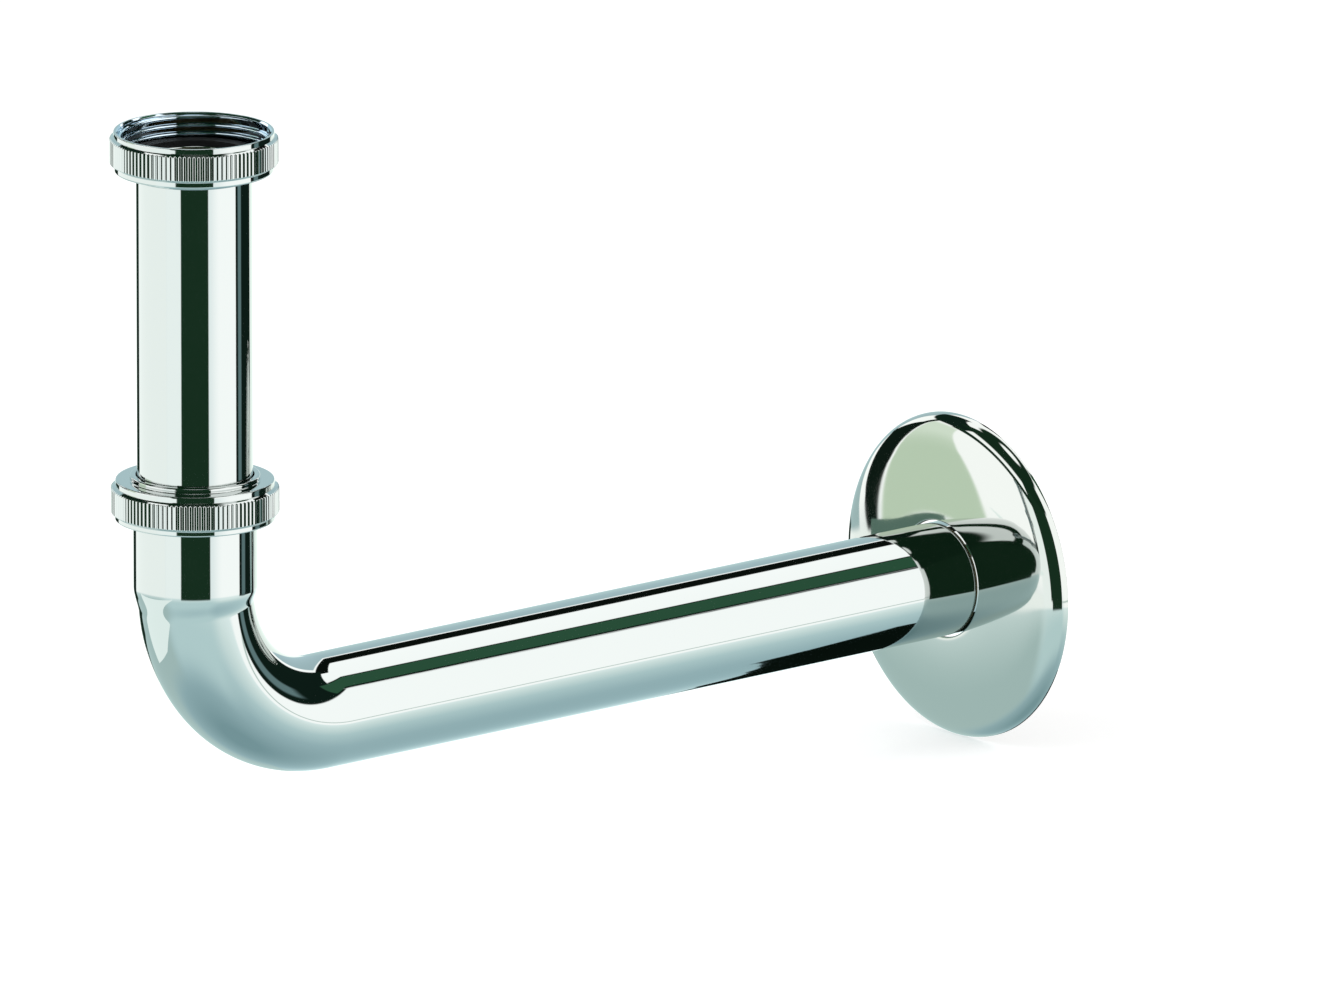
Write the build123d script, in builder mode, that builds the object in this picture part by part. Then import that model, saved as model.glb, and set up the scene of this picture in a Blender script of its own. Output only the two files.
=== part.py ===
from build123d import *
import os
from math import cos, pi, radians, sin

os.makedirs("parts", exist_ok=True)

# Waste elbow of a basin. A tube comes down from the basin into the socket of an elbow,
# which carries the water back to the wall. A union nut holds the tube to the basin's
# outlet. A compression nut of the same pattern squeezes a rubber cone round the tube,
# and a shallow flange slides on the outlet to cover the hole in the wall.
#
# Frame, in millimetres: +Z up, +X into the wall, origin where the outlet's axis meets
# the wall plane.

# Tubes
tube_diameter = 32.0
tube_wall = 0.9
tube_edge = 0.3
inlet_tube_length = 120.5
reach = 277.2
wall_insert = 22.0
bend_radius = 43.0
swage_angle = 7.0
swage_sections = 5
socket_bare = 19.8
socket_clearance = 0.2
socket_stop_gap = 0.3

# Rolled flange of the inlet tube and its washer
rolled_thickness = 1.0
rolled_edge = 0.4
washer_thickness = 1.6
washer_bore_gap = 0.5
thread_pass_gap = 0.4

# Nuts, with the thread of a standard basin waste
nut_wall = 2.245
thread_depth = 1.479
thread_length = 5.5
thread_lead_in = 0.5
relief_depth = 0.35
relief_length = 3.2
nut_web = 2.0
nut_hole_gap = 0.3
mouth_bevel_height = 2.1
mouth_bevel_width = 1.1
closed_bevel_height = 2.4
closed_bevel_width = 1.5
lip_height = 1.4
lip_width = 1.7
lip_edge = 0.5
rib_count = 110
rib_depth = 0.45
rib_crest_cut = 0.13

# Compression joint, whose collar brings the thread to 41.91 mm across
collar_height = 6.0
collar_wall = 3.555
collar_thread_gap = 0.3
collar_edge = 0.6
seat_depth = 2.2
seat_width = 1.9
seal_stand = 1.8
slip_ring_thickness = 1.0
slip_ring_side_gap = 0.6

# Wall flange
flange_diameter = 92.4
flange_sheet = 0.9
flange_depth = 7.9
flange_bore_gap = 0.6
rim_lip = 0.3
rim_rounding = 5.0
dome_slope = 11.0
neck_height = 0.5
neck_edge = 0.3

# Radii that the pieces share
tube_radius = tube_diameter / 2
bore_radius = tube_radius - tube_wall
socket_bore = tube_radius + socket_clearance
socket_radius = socket_bore + tube_wall
collar_radius = socket_radius + collar_wall
thread_major = 2 * (collar_radius + collar_thread_gap)
thread_minor = thread_major - 2 * thread_depth
thread_radius = thread_major / 2
passing_radius = thread_minor / 2 - thread_pass_gap
nut_diameter = thread_major + 2 * nut_wall
nut_radius = nut_diameter / 2
nut_hole = tube_radius + nut_hole_gap

# Heights inside a nut, from its mouth
relief_start = thread_lead_in + thread_length
nut_depth = relief_start + relief_length
nut_height = nut_depth + nut_web

# Heights of the compression joint, from the bend upwards
collar_bottom = bend_radius + socket_bare
collar_top = collar_bottom + collar_height
socket_top = collar_top - seat_depth
slip_ring_bottom = collar_top + seal_stand
slip_ring_top = slip_ring_bottom + slip_ring_thickness
compression_mouth = slip_ring_top - nut_depth

# Heights of the inlet tube and the union nut
inlet_foot = bend_radius + socket_stop_gap
inlet_top = inlet_foot + inlet_tube_length
rolled_bottom = inlet_top - rolled_thickness
union_mouth = rolled_bottom + nut_depth

# The upright axis, and the half-section plane of what is turned about it
upright = Axis((-reach, 0, 0), (0, 0, 1))
upright_section = Plane((-reach, 0, 0), x_dir=(1, 0, 0), z_dir=(0, -1, 0))

# The bend turns about this axis
bend_centre = Vector(bend_radius - reach, 0, bend_radius)
bend_axis = Axis(bend_centre, (0, -1, 0))


def bend_plane(angle):
    """Plane across the bend, at an angle from the foot of the socket, facing downstream."""
    spoke = Vector(-cos(radians(angle)), 0, -sin(radians(angle)))
    downstream = Vector(sin(radians(angle)), 0, -cos(radians(angle)))
    return Plane(bend_centre + spoke * bend_radius, x_dir=spoke, z_dir=downstream)


def elbow_run(inset):
    """Solid run of socket, swage, bend and straight, drawn in from the outside by inset."""
    with BuildPart() as run:
        with BuildSketch(bend_plane(0)):
            Circle(socket_radius - inset)
        extrude(amount=bend_radius - socket_top)
        for number in range(swage_sections):
            share = number / (swage_sections - 1)
            narrowing = (socket_radius - tube_radius) * (1 - cos(pi * share)) / 2
            with BuildSketch(bend_plane(swage_angle * share)):
                Circle(socket_radius - narrowing - inset)
        loft()
        with BuildSketch(bend_plane(swage_angle)):
            Circle(tube_radius - inset)
        revolve(axis=bend_axis, revolution_arc=90 - swage_angle)
        with BuildSketch(bend_plane(90)):
            Circle(tube_radius - inset)
        extrude(amount=reach - bend_radius + wall_insert)
    return run.part


def rib_corner(step):
    """Corner of the knurl's outline: a crest at an even step, a groove at an odd one."""
    radius = nut_radius - rib_depth if step % 2 else nut_radius + rib_crest_cut
    return (radius * cos(step * pi / rib_count), radius * sin(step * pi / rib_count))


def knurled_nut(mouth):
    """Nut with a threaded mouth, a straight knurl and a lipped web. The mouth plane faces in."""
    half_section = Plane(
        mouth.origin, x_dir=mouth.x_dir, z_dir=mouth.x_dir.cross(mouth.z_dir)
    )
    lip_radius = nut_hole + lip_width
    lip_top = nut_height + lip_height
    relief_radius = thread_radius + relief_depth
    with BuildPart() as nut:
        with BuildSketch(half_section):
            with BuildLine():
                Polyline(
                    (nut_hole, nut_depth),
                    (relief_radius, nut_depth),
                    (relief_radius, relief_start),
                    (thread_radius, relief_start),
                    (thread_radius, thread_lead_in),
                    (thread_radius + thread_lead_in, 0),
                    (nut_radius - mouth_bevel_width, 0),
                    (nut_radius, mouth_bevel_height),
                    (nut_radius, nut_height - closed_bevel_height),
                    (nut_radius - closed_bevel_width, nut_height),
                    (lip_radius, nut_height),
                    (lip_radius, lip_top - lip_edge),
                    (lip_radius - lip_edge, lip_top),
                    (nut_hole, lip_top),
                    close=True,
                )
            make_face()
        revolve(axis=Axis(mouth.origin, mouth.z_dir))
        with BuildSketch(mouth):
            with BuildLine():
                Polyline([rib_corner(step) for step in range(2 * rib_count)], close=True)
            make_face()
        extrude(amount=lip_top, mode=Mode.INTERSECT)
    return nut.part


def dish_blank(inset):
    """Solid disc under the wall flange's outer face, drawn in from the outside by inset."""
    rim_radius = flange_diameter / 2 - inset
    neck_foot = (inset - flange_depth, tube_radius + flange_bore_gap + flange_sheet)
    with BuildPart() as blank:
        with BuildSketch(Plane.XZ):
            with BuildLine():
                lip = Line((0, rim_radius), (-rim_lip, rim_radius))
                rim = JernArc(lip @ 1, lip % 1, rim_rounding - inset, 90 - dome_slope)
                TangentArc(rim @ 1, neck_foot, tangent=rim % 1)
                Polyline(neck_foot, (neck_foot[0], 0), (0, 0), (0, rim_radius))
            make_face()
        revolve(axis=Axis.X)
    return blank.part


# Elbow of one drawn tube: swaged socket, bend and outlet
elbow_outside = elbow_run(0)
water_way = elbow_run(tube_wall)
with BuildPart() as outlet_elbow:
    add(elbow_outside)
    add(water_way, mode=Mode.SUBTRACT)
    end_edges = outlet_elbow.edges().filter_by(GeomType.CIRCLE).group_by(Axis.X)[-1]
    chamfer(end_edges.sort_by(SortBy.RADIUS)[-1], tube_edge)

outlet_elbow.part.label = "outlet_elbow"
export_step(outlet_elbow.part, "parts/outlet_elbow.step")

# Threaded collar brazed round the socket, with a cone inside its top for the seal
with BuildPart() as threaded_collar:
    with BuildSketch(upright_section):
        with BuildLine():
            Polyline(
                (socket_radius, collar_bottom),
                (collar_radius - collar_edge, collar_bottom),
                (collar_radius, collar_bottom + collar_edge),
                (collar_radius, collar_top - collar_edge),
                (collar_radius - collar_edge, collar_top),
                (socket_radius + seat_width, collar_top),
                (socket_radius, socket_top),
                close=True,
            )
        make_face()
    revolve(axis=upright)

threaded_collar.part.label = "threaded_collar"
export_step(threaded_collar.part, "parts/threaded_collar.step")

# Rubber cone that seals the inlet tube in the socket
with BuildPart() as tapered_seal:
    with BuildSketch(upright_section):
        with BuildLine():
            Polyline(
                (socket_bore, socket_top),
                (socket_radius, socket_top),
                (socket_radius + seat_width, collar_top),
                (socket_radius + seat_width, slip_ring_bottom),
                (socket_bore, slip_ring_bottom),
                close=True,
            )
        make_face()
    revolve(axis=upright)

tapered_seal.part.label = "tapered_seal"
export_step(tapered_seal.part, "parts/tapered_seal.step")

# Slip ring that lets the nut turn without dragging the seal, held behind the nut's thread
with BuildPart() as slip_ring:
    with BuildSketch(Plane((-reach, 0, slip_ring_bottom))):
        Circle(thread_radius - slip_ring_side_gap)
        Circle(nut_hole, mode=Mode.SUBTRACT)
    extrude(amount=slip_ring_thickness)

slip_ring.part.label = "slip_ring"
export_step(slip_ring.part, "parts/slip_ring.step")

# Compression nut, mouth down on the collar
compression_nut = knurled_nut(Plane((-reach, 0, compression_mouth)))
compression_nut.label = "compression_nut"
export_step(compression_nut, "parts/compression_nut.step")

# Inlet tube with a flange rolled out at its top
with BuildPart() as inlet_tube:
    with BuildSketch(upright_section):
        with BuildLine():
            Polyline(
                (bore_radius, inlet_foot),
                (tube_radius - tube_edge, inlet_foot),
                (tube_radius, inlet_foot + tube_edge),
                (tube_radius, rolled_bottom),
                (passing_radius, rolled_bottom),
                (passing_radius, inlet_top),
                (bore_radius + rolled_edge, inlet_top),
                (bore_radius, inlet_top - rolled_edge),
                close=True,
            )
        make_face()
    revolve(axis=upright)

inlet_tube.part.label = "inlet_tube"
export_step(inlet_tube.part, "parts/inlet_tube.step")

# Flat washer on the rolled flange
with BuildPart() as flat_washer:
    with BuildSketch(Plane((-reach, 0, inlet_top))):
        Circle(passing_radius)
        Circle(bore_radius + washer_bore_gap, mode=Mode.SUBTRACT)
    extrude(amount=washer_thickness)

flat_washer.part.label = "flat_washer"
export_step(flat_washer.part, "parts/flat_washer.step")

# Union nut, mouth up under the basin's outlet
union_nut = knurled_nut(Plane((-reach, 0, union_mouth), z_dir=(0, 0, -1)))
union_nut.label = "union_nut"
export_step(union_nut, "parts/union_nut.step")

# Wall flange pressed from sheet: round rim, low dome and a turned-up edge round the tube
dish_outside = dish_blank(0)
dish_hollow = dish_blank(flange_sheet)
with BuildPart() as wall_flange:
    add(dish_outside)
    add(dish_hollow, mode=Mode.SUBTRACT)
    neck_bore = tube_radius + flange_bore_gap
    with BuildSketch(Plane.YZ.offset(flange_sheet - flange_depth)):
        Circle(neck_bore + flange_sheet)
    extrude(amount=-flange_sheet - neck_height)
    with BuildSketch(Plane.YZ.offset(flange_sheet - flange_depth)):
        Circle(neck_bore)
    extrude(amount=-flange_sheet - neck_height, mode=Mode.SUBTRACT)
    neck_edges = wall_flange.edges().filter_by(GeomType.CIRCLE).group_by(Axis.X)[0]
    chamfer(neck_edges, neck_edge)

wall_flange.part.label = "wall_flange"
export_step(wall_flange.part, "parts/wall_flange.step")
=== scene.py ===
# %% [markdown]
# # A chromed waste elbow
# Under a basin, this elbow takes the water from the basin's outlet to the drain in the
# wall. It is drawn brass tube, two turned nuts and a pressed flange, all chromed.
# Chrome has almost no colour of its own. It looks like the room around it, so half of this
# lesson is the object and the other half is the room that it mirrors.
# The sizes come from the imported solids, in metres, so nothing has to be fitted by eye.

# %% Load the solids
from math import asin, cos, pi, radians, sin, tan

import bmesh
import bpy
from mathutils import Matrix, Vector


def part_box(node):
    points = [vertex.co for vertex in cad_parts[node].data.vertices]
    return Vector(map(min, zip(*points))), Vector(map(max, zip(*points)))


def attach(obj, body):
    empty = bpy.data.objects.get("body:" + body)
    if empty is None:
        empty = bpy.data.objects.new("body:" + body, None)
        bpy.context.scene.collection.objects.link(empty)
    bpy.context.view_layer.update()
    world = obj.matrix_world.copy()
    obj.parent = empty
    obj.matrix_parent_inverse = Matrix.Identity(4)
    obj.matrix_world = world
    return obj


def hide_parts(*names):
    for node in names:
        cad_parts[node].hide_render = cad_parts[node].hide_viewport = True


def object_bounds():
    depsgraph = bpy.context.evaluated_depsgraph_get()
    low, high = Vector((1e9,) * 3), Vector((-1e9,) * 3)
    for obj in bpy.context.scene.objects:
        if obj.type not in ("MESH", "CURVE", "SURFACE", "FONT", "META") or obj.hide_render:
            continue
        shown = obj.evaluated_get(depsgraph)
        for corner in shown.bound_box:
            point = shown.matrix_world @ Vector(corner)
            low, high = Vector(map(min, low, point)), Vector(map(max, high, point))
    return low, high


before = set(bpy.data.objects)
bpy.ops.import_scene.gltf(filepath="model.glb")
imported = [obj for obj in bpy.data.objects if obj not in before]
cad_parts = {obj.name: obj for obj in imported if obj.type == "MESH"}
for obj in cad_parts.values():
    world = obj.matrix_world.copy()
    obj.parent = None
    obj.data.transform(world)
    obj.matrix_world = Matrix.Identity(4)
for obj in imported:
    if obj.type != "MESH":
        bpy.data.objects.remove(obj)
cad_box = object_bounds()

# %% Read the main sizes off the solids
MM = 0.001
elbow_low, elbow_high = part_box("outlet_elbow")
inlet_low, inlet_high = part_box("inlet_tube")
collar_low, collar_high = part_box("threaded_collar")
compression_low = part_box("compression_nut")[0]
union_low, union_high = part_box("union_nut")
flange_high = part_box("wall_flange")[1]

socket_radius = elbow_high.y
tube_radius = -elbow_low.z
upright_x = elbow_low.x + socket_radius
socket_top = elbow_high.z
tube_end = elbow_high.x
nut_radius = (union_high.x - union_low.x) / 2
flange_radius = flange_high.z
crossing = Vector((upright_x, 0, 0))
print("upright tube at x =", round(upright_x / MM, 2), "mm")

# %% [markdown]
# ## The camera
# A long lens far away keeps the two tubes almost free of perspective, as a catalogue picture
# does. The camera is placed by one known point: the pixel where the two tube axes cross.
# From there the view's own right and up directions give its place.

# %% Place the camera
PHOTO_WIDTH = 1339
PHOTO_HEIGHT = 1000
SENSOR_WIDTH = 36.0
VIEW_TURN = radians(40.108)
VIEW_ELEVATION = radians(14.430)
VIEW_DISTANCE = 10.0
PIXELS_PER_METRE = 3631.6
CROSSING_COLUMN = 195.89
CROSSING_ROW = 736.95

view_level = Vector((sin(VIEW_TURN), cos(VIEW_TURN), 0))
view_right = Vector((cos(VIEW_TURN), -sin(VIEW_TURN), 0))
view_forward = cos(VIEW_ELEVATION) * view_level - sin(VIEW_ELEVATION) * Vector((0, 0, 1))
view_up = view_right.cross(view_forward)

side_step = (PHOTO_WIDTH / 2 - CROSSING_COLUMN) / PIXELS_PER_METRE
up_step = (CROSSING_ROW - PHOTO_HEIGHT / 2) / PIXELS_PER_METRE
camera_data = bpy.data.cameras.new("catalogue_camera")
camera_data.sensor_width = SENSOR_WIDTH
camera_data.lens = PIXELS_PER_METRE * VIEW_DISTANCE * SENSOR_WIDTH / PHOTO_WIDTH
camera_data.clip_end = 10 * VIEW_DISTANCE
camera = bpy.data.objects.new("catalogue_camera", camera_data)
facing = Matrix((view_right, view_up, -view_forward)).transposed().to_4x4()
place = crossing - VIEW_DISTANCE * view_forward + side_step * view_right + up_step * view_up
camera.matrix_world = Matrix.Translation(place) @ facing
bpy.context.collection.objects.link(camera)
bpy.context.scene.camera = camera
print("lens", round(camera_data.lens), "mm")

# %% [markdown]
# ## Two small helpers
# Colours are written as they look on a screen, in sRGB hex, and Blender wants linear light.
# Node trees are written with one function that makes a node, sets it and links its inputs.


# %% Colour and node helpers
def linear(hex_colour):
    """Linear RGBA of an sRGB colour such as #C0FFEE."""
    shares = [int(hex_colour[start : start + 2], 16) / 255 for start in (1, 3, 5)]
    light = [s / 12.92 if s <= 0.04045 else ((s + 0.055) / 1.055) ** 2.4 for s in shares]
    return (*light, 1.0)


def add_node(tree, kind, inputs=None, **settings):
    """Adds a node, sets its properties, and links or sets the inputs named."""
    node = tree.nodes.new(kind)
    for name, value in settings.items():
        setattr(node, name, value)
    for socket, value in (inputs or {}).items():
        if isinstance(value, bpy.types.NodeSocket):
            tree.links.new(value, node.inputs[socket])
        else:
            node.inputs[socket].default_value = value
    return node


def new_material(name):
    """A material with no nodes yet, and its tree."""
    material = bpy.data.materials.new(name)
    material.use_nodes = True
    material.node_tree.nodes.clear()
    return material, material.node_tree


def glow_with(material, shader):
    """Ends a glowing material that isn't used as a lamp."""
    add_node(material.node_tree, "ShaderNodeOutputMaterial", {"Surface": shader.outputs[0]})
    material.cycles.emission_sampling = "NONE"
    return material


print("white is", linear("#FFFFFF"))

# %% [markdown]
# ## The light tent
# A studio photographs chrome inside a white tent with a slit for the camera. The metal shows
# that tent: white walls, a dark slit in front, dark gaps between the panels and a grey table
# below, graded darker the steeper one looks down, which is painted shade under the object. The
# tent here is a globe round the object that only mirrored rays can see, so it draws the
# reflections and doesn't change the plain light on the floor. It stands far off, so that a
# straight tube shows straight stripes.
# Each gap is a patch in degrees, as seen from the middle of the tent: azimuth 0 is the
# camera, plus is to the picture's right, and elevation 0 is level.

# %% Describe the tent's panels
TENT_RADIUS = 40.0
TENT_CENTRE = Vector((-0.20, 0, 0.03))
TENT_WHITE = "#FFFFFF"
TABLE_EDGE = -15.5
# The table's tones by elevation: its own grey, darkened towards straight down by painted shade under the
# object.
TABLE_TONES_AND_SHADE = {
    -80.0: "#78969C",
    -48.0: "#97B2B8",
    -32.0: "#B0C8CB",
    -20.0: "#D3E2E1",
    TABLE_EDGE: "#E2EEEE",
}
TENT_STRENGTH = 1.67


class Panel:
    """A patch of the tent, in degrees: azimuths, elevations, colour, softness of its sides and lean.

    The edge is the softness of its upright sides, the fade that of its top, and the foot that of its
    bottom, if it differs. The lean says how far its left and its right side move to the right for
    each degree upwards.
    """

    def __init__(self, name, azimuth, elevation, colour, edge=0.8, fade=0.8, lean=(0.0, 0.0), foot=None):
        self.name = name
        self.spans = (azimuth, elevation)
        self.softness = (edge, foot or fade, fade)
        self.colour = colour
        self.lean = lean


back_walls = [
    Panel("back wall, left half", (-190, -148), (-12, 33), "#9FB6BB"),
    Panel("back wall, right half", (148, 190), (0, 30), "#9CB3B9"),
    Panel("foot of the back wall, left half", (-190, -165), (-22, -12), "#DCE6E0"),
    Panel("foot of the back wall, right half", (143, 190), (-15.5, 0), "#DCE6E0"),
    Panel("dark roof", (-190, 190), (62, 80), "#142A1C", 0.8, 2.0),
    Panel("roof seam", (138, 175), (32, 44), "#0A0F0C", 0.5, 0.5),
]
table_parts = [
    Panel("left of the table", (-215, -56), (-50, -15.5), "#A4BAB9", 14.0, 8.0),
    Panel("front of the table", (-56, 40), (-46, -16), "#B6CED0", 14.0, 13.0),
]
left_wall = [
    Panel("near end of the left wall", (-57, -26), (-15.5, 33), "#F0F5F4", 3.0),
    Panel("shade on the left wall", (-111.2, -94), (-12.5, 27), "#D6E2D2", 0.6, 3.0, (-0.35, -0.2), 0.5),
    Panel("deep shade on the left wall", (-111.2, -94), (-12.5, 6), "#BDCEB8", 0.6, 9.0, (-0.35, -0.2), 0.5),
    Panel("foot of the left wall", (-143, -57), (-15.5, -12.6), "#F0F4F2", 0.8, 0.4),
    Panel("gap beside the left wall", (-136, -112.5), (-12.9, 8.5), "#0E1A14", 0.5, 0.5, (-1.9, -0.35), 0.3),
    Panel("gap higher up", (-162, -112.5), (6, 30), "#0E1A14", 0.5, 0.5, (1.7, -0.35)),
    Panel("back of the room beside the gap", (-190, -150), (-12.6, 12), "#9FB6B8", 0.8, 0.5, (0.0, -2.6)),
    Panel("cord over the gap", (-126, -120), (18, 31), "#0E1A14", 0.5, 0.5),
    Panel("gap over the left wall", (-160, -98), (29.5, 52), "#10211A"),
    Panel("gap at the back left", (-165, -143), (-22, -12), "#14241C", 1.5, 0.5),
]
right_wall = [
    Panel("gap beside the right wall", (91, 143), (-16.2, 37), "#0E1C17", 0.8, 0.4),
    Panel("glimpse through the gap", (97.5, 107), (-16.2, 10), "#5F7779", 1.6, 3.0),
    Panel("black frame under the roof", (91.5, 116), (37, 52), "#0C1410"),
    Panel("green gap under the roof", (93.8, 113.6), (30, 60), "#2B4F3A", 0.6, 0.6),
    Panel("table's far edge", (30, 91), (-12.4, -11.4), "#B0C0BA", 0.4, 0.4),
]
camera_side = [
    Panel("camera slit", (-26, 28.6), (-16.5, -11.5), "#182F20", 1.0, 0.8),
    Panel("slit over the camera", (-33, 28.6), (-12.5, 64), "#182F20", 1.0, 0.8, (-0.15, 0.0)),
    Panel("stroke under the roof", (-105, -30), (28, 35), "#142A1C", 1.0, 0.6),
    Panel("dark roof over the camera", (-116, 40), (44, 72), "#142A1C", 2.0, 2.0),
]
panels = table_parts + back_walls + left_wall + right_wall + camera_side
print(len(panels), "panels")


# %% Paint the tent
def smooth_step(tree, value, middle, edge):
    """0 below middle, 1 above, with a soft edge."""
    step = add_node(
        tree,
        "ShaderNodeMapRange",
        {"Value": value, "From Min": middle - edge, "From Max": middle + edge},
        interpolation_type="SMOOTHSTEP",
    )
    return step.outputs["Result"]


def lay_over(tree, mask, below, above):
    """The colour above where the mask is 1, over the colour below."""
    mix = add_node(tree, "ShaderNodeMix", {0: mask, 6: below, 7: above}, data_type="RGBA")
    return mix.outputs[2]


def panel_mask(tree, azimuth, elevation, panel):
    """1 inside the panel, 0 outside."""
    limits = []
    for side, lean in zip(panel.spans[0], panel.lean):
        shift = add_node(tree, "ShaderNodeMath", {0: elevation, 1: -lean}, operation="MULTIPLY")
        upright = add_node(tree, "ShaderNodeMath", {0: azimuth, 1: shift.outputs[0]})
        limits.append(smooth_step(tree, upright.outputs[0], side, panel.softness[0]))
    for height, softness in zip(panel.spans[1], panel.softness[1:]):
        limits.append(smooth_step(tree, elevation, height, softness))
    across = add_node(tree, "ShaderNodeMath", {0: limits[0], 1: limits[1]}, operation="SUBTRACT")
    along = add_node(tree, "ShaderNodeMath", {0: limits[2], 1: limits[3]}, operation="SUBTRACT")
    mask = add_node(tree, "ShaderNodeMath", {0: across.outputs[0], 1: along.outputs[0]}, operation="MULTIPLY")
    mask.use_clamp = True
    return mask.outputs[0]


def tent_cloth():
    """Glowing cloth of the tent: white walls, a table graded darker downwards with painted shade, and the
    panels.
    """
    material, tree = new_material("tent_cloth")
    place = add_node(tree, "ShaderNodeTexCoord")
    parts = add_node(tree, "ShaderNodeSeparateXYZ", {0: place.outputs["Object"]})
    toward = add_node(tree, "ShaderNodeMath", {0: parts.outputs[1], 1: -1.0}, operation="MULTIPLY")
    turn = add_node(tree, "ShaderNodeMath", {0: parts.outputs[0], 1: toward.outputs[0]}, operation="ARCTAN2")
    azimuth = add_node(tree, "ShaderNodeMath", {0: turn.outputs[0]}, operation="DEGREES").outputs[0]
    height = add_node(tree, "ShaderNodeMath", {0: parts.outputs[2], 1: TENT_RADIUS}, operation="DIVIDE")
    rise = add_node(tree, "ShaderNodeMath", {0: height.outputs[0]}, operation="ARCSINE")
    elevation = add_node(tree, "ShaderNodeMath", {0: rise.outputs[0]}, operation="DEGREES").outputs[0]

    # The table's ramp by elevation, darker the steeper one looks down: painted shade.
    depth = add_node(
        tree, "ShaderNodeMapRange", {"Value": elevation, "From Min": -90.0, "From Max": 0.0}
    )
    table = add_node(tree, "ShaderNodeValToRGB", {0: depth.outputs["Result"]})
    stops = table.color_ramp.elements
    while len(stops) < len(TABLE_TONES_AND_SHADE):
        stops.new(0.5)
    for stop, (angle, tone) in zip(stops, TABLE_TONES_AND_SHADE.items()):
        stop.position = 1 + angle / 90
        stop.color = linear(tone)

    above_table = smooth_step(tree, elevation, TABLE_EDGE, 0.6)
    colour = lay_over(tree, above_table, table.outputs[0], linear(TENT_WHITE))
    for panel in panels:
        mask = panel_mask(tree, azimuth, elevation, panel)
        colour = lay_over(tree, mask, colour, linear(panel.colour))
    glow = add_node(tree, "ShaderNodeEmission", {"Color": colour, "Strength": TENT_STRENGTH})
    return glow_with(material, glow)


# %% Put up the tent
TENT_SEGMENTS = 128
tent_mesh = bpy.data.meshes.new("light_tent")
tent_form = bmesh.new()
bmesh.ops.create_uvsphere(
    tent_form, u_segments=TENT_SEGMENTS, v_segments=TENT_SEGMENTS // 2, radius=TENT_RADIUS
)
tent_form.to_mesh(tent_mesh)
tent_form.free()
tent_mesh.materials.append(tent_cloth())
tent = bpy.data.objects.new("light_tent", tent_mesh)
tent.matrix_world = Matrix.Translation(TENT_CENTRE) @ Matrix.Rotation(-VIEW_TURN, 4, "Z")
tent.visible_camera = False
tent.visible_diffuse = False
tent.visible_shadow = False
tent.visible_volume_scatter = False
bpy.context.collection.objects.link(tent)
print("tent", 2 * TENT_RADIUS, "m across")

# %% [markdown]
# ## Floor, lamps and sky
# The floor is plain white board. To the camera it glows a little, so that it meets the white
# background without a line, and it still takes the object's soft shadow. Two large soft lamps
# and a white sky light what isn't metal. They hide from mirrored rays, which see the tent.

# %% Lay the floor
FLOOR_SIZE = 8.0
FLOOR_GAP = 0.2 * MM
FLOOR_GLOW = 0.55


def floor_board():
    """White painted board. Its own light shows to the camera alone."""
    material, tree = new_material("white_painted_board")
    paint = add_node(tree, "ShaderNodeBsdfDiffuse", {"Color": linear("#DADADA")})
    path = add_node(tree, "ShaderNodeLightPath")
    glow = add_node(
        tree, "ShaderNodeMath", {0: path.outputs["Is Camera Ray"], 1: FLOOR_GLOW}, operation="MULTIPLY"
    )
    light = add_node(tree, "ShaderNodeEmission", {"Strength": glow.outputs[0]})
    both = add_node(tree, "ShaderNodeAddShader", {0: paint.outputs[0], 1: light.outputs[0]})
    return glow_with(material, both)


def flat_board(name, corners, height, material):
    """Level board with these corners."""
    mesh = bpy.data.meshes.new(name)
    mesh.from_pydata([(corner.x, corner.y, height) for corner in corners], [], [range(len(corners))])
    mesh.materials.append(material)
    board = bpy.data.objects.new(name, mesh)
    bpy.context.collection.objects.link(board)
    return board


floor_z = cad_box[0].z - FLOOR_GAP
floor_corners = [Vector((x, y)) * FLOOR_SIZE / 2 for x, y in ((-1, -1), (1, -1), (1, 1), (-1, 1))]
floor = flat_board("floor", floor_corners, floor_z, floor_board())
floor.visible_glossy = False
print("floor at", round(floor_z / MM, 2), "mm")

# %% [markdown]
# Some things stood so near that only one part of the object mirrors them. The table ended near the
# flange, and what lay beyond and below was dark, so the underside of the tube shows a black wedge.
# A near-black glowing board stands for that dark and paints the wedge: a painted dark reflection.
# A white card lay beside the bend, and its left side shows it as a bright tongue. Over the tube,
# the dish shows a dark smear, and a grey-green glowing board beside the flange paints it: a painted
# reflection. Boards that only mirrored rays can see stand for them. The dark board is found
# backwards: rays from the wedge's outline on the tube, in millimetres from the wall and degrees up
# from the tube's lowest line, lead to its corners.

# %% Lay the dark board, the white card and the board for the dark smear
WEDGE_LEFT = ((121, 27), (106, 35), (88, 45), (84, 52), (87, 58))
WEDGE_RIGHT = ((30, 67), (25, 27))
BOARD_DROP = 500 * MM
CARD_NEAR = 105 * MM
CARD_FAR = 330 * MM
CARD_END = (-114, -74)
CARD_SPREAD = (-120, -42)
# Where the board lies that paints the dark smear in the dish: a painted reflection.
SMEAR_NEAR = 225 * MM
SMEAR_FAR = 300 * MM
SMEAR_SPREAD = (-112, -97)


def outward(azimuth, elevation=0):
    """Direction away from the object at the tent's angles."""
    turn, rise = radians(azimuth), radians(elevation)
    level = sin(turn) * view_right - cos(turn) * view_level
    return cos(rise) * level + sin(rise) * Vector((0, 0, 1))


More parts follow.
